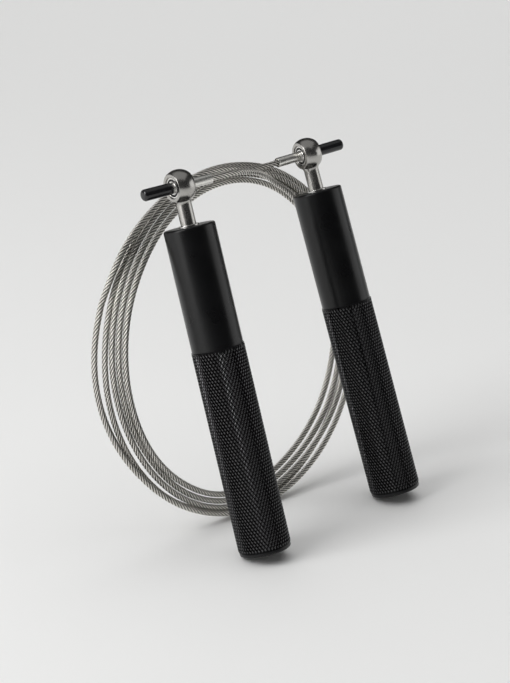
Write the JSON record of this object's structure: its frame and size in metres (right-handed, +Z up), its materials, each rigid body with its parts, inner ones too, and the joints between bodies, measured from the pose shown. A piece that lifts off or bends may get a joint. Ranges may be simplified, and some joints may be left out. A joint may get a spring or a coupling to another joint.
{
  "type": "jump rope",
  "caption": "Speed jump rope with knurled metal handles, ball-bearing swivel heads and a steel wire rope wound into a round coil, standing on its handle ends.",
  "frame": {"origin": "on the ground under the middle of the box around the two handles and their heads", "axes": "+Z up, +X to the viewer's right and +Y away from the viewer, with the rope standing as it is stored"},
  "size_m": [0.128, 0.1231, 0.1459],
  "materials": {
    "barrel": "satin black anodised, fine diamond knurl on the lower part",
    "plug": "moulded black",
    "bush": "turned, bright",
    "bearing_ring": "ground bearing steel",
    "bearing_ball": "polished balls",
    "spacer": "turned",
    "spring_steel": "blackened spring steel",
    "zinc_hardware": "zinc plated",
    "polished_head": "polished steel",
    "sleeve": "turned",
    "ferrule": "satin nickel",
    "cap": "glossy black",
    "wire_rope": "stranded steel wire rope",
    "rope_coil": "solid ring for the wound rope, with the coil's bulk density"
  },
  "bodies": {
    "cord": {"cord_coil": "rope_coil", "cord_lead_left": "wire_rope", "cord_lead_right": "wire_rope", "eye_sleeve_left": "sleeve", "eye_sleeve_right": "sleeve", "ferrule_left": "ferrule", "ferrule_right": "ferrule", "end_cap_left": "cap", "end_cap_right": "cap", "eye_bearing_inners_left": "bearing_ring", "eye_bearing_inners_right": "bearing_ring"},
    "head_left": {"swivel_head_left": "polished_head", "upper_bearing_inner_left": "bearing_ring", "lower_bearing_inner_left": "bearing_ring", "bearing_spacer_left": "spacer", "shaft_washer_left": "zinc_hardware", "lock_nut_left": "zinc_hardware", "eye_bearing_outers_left": "bearing_ring", "eye_bearing_balls_left": "bearing_ball"},
    "handle_left": {"handle_barrel_left": "barrel", "end_plug_left": "plug", "top_bush_left": "bush", "upper_bearing_outer_left": "bearing_ring", "lower_bearing_outer_left": "bearing_ring", "upper_bearing_balls_left": "bearing_ball", "lower_bearing_balls_left": "bearing_ball", "bearing_circlip_left": "spring_steel"},
    "head_right": {"swivel_head_right": "polished_head", "upper_bearing_inner_right": "bearing_ring", "lower_bearing_inner_right": "bearing_ring", "bearing_spacer_right": "spacer", "shaft_washer_right": "zinc_hardware", "lock_nut_right": "zinc_hardware", "eye_bearing_outers_right": "bearing_ring", "eye_bearing_balls_right": "bearing_ball"},
    "handle_right": {"handle_barrel_right": "barrel", "end_plug_right": "plug", "top_bush_right": "bush", "upper_bearing_outer_right": "bearing_ring", "lower_bearing_outer_right": "bearing_ring", "upper_bearing_balls_right": "bearing_ball", "lower_bearing_balls_right": "bearing_ball", "bearing_circlip_right": "spring_steel"}
  },
  "joints": [
    {"name": "eye_left", "type": "hinge", "parent": "cord", "child": "head_left", "pos_m": [-0.04504, -0.01257, 0.13942], "axis": [-0.7944, -0.6039, -0.0649], "range_deg": [0, 230]},
    {"name": "spin_left", "type": "hinge", "parent": "head_left", "child": "handle_left", "pos_m": [-0.04504, -0.01257, 0.13942], "axis": [-0.2257, 0.1942, 0.9546], "continuous": true},
    {"name": "eye_right", "type": "hinge", "parent": "cord", "child": "head_right", "pos_m": [0.00418, 0.04384, 0.13852], "axis": [-0.8447, -0.5202, -0.1262], "range_deg": [0, 250]},
    {"name": "spin_right", "type": "hinge", "parent": "head_right", "child": "handle_right", "pos_m": [0.00418, 0.04384, 0.13852], "axis": [-0.259, 0.1908, 0.9468], "continuous": true}
  ]
}
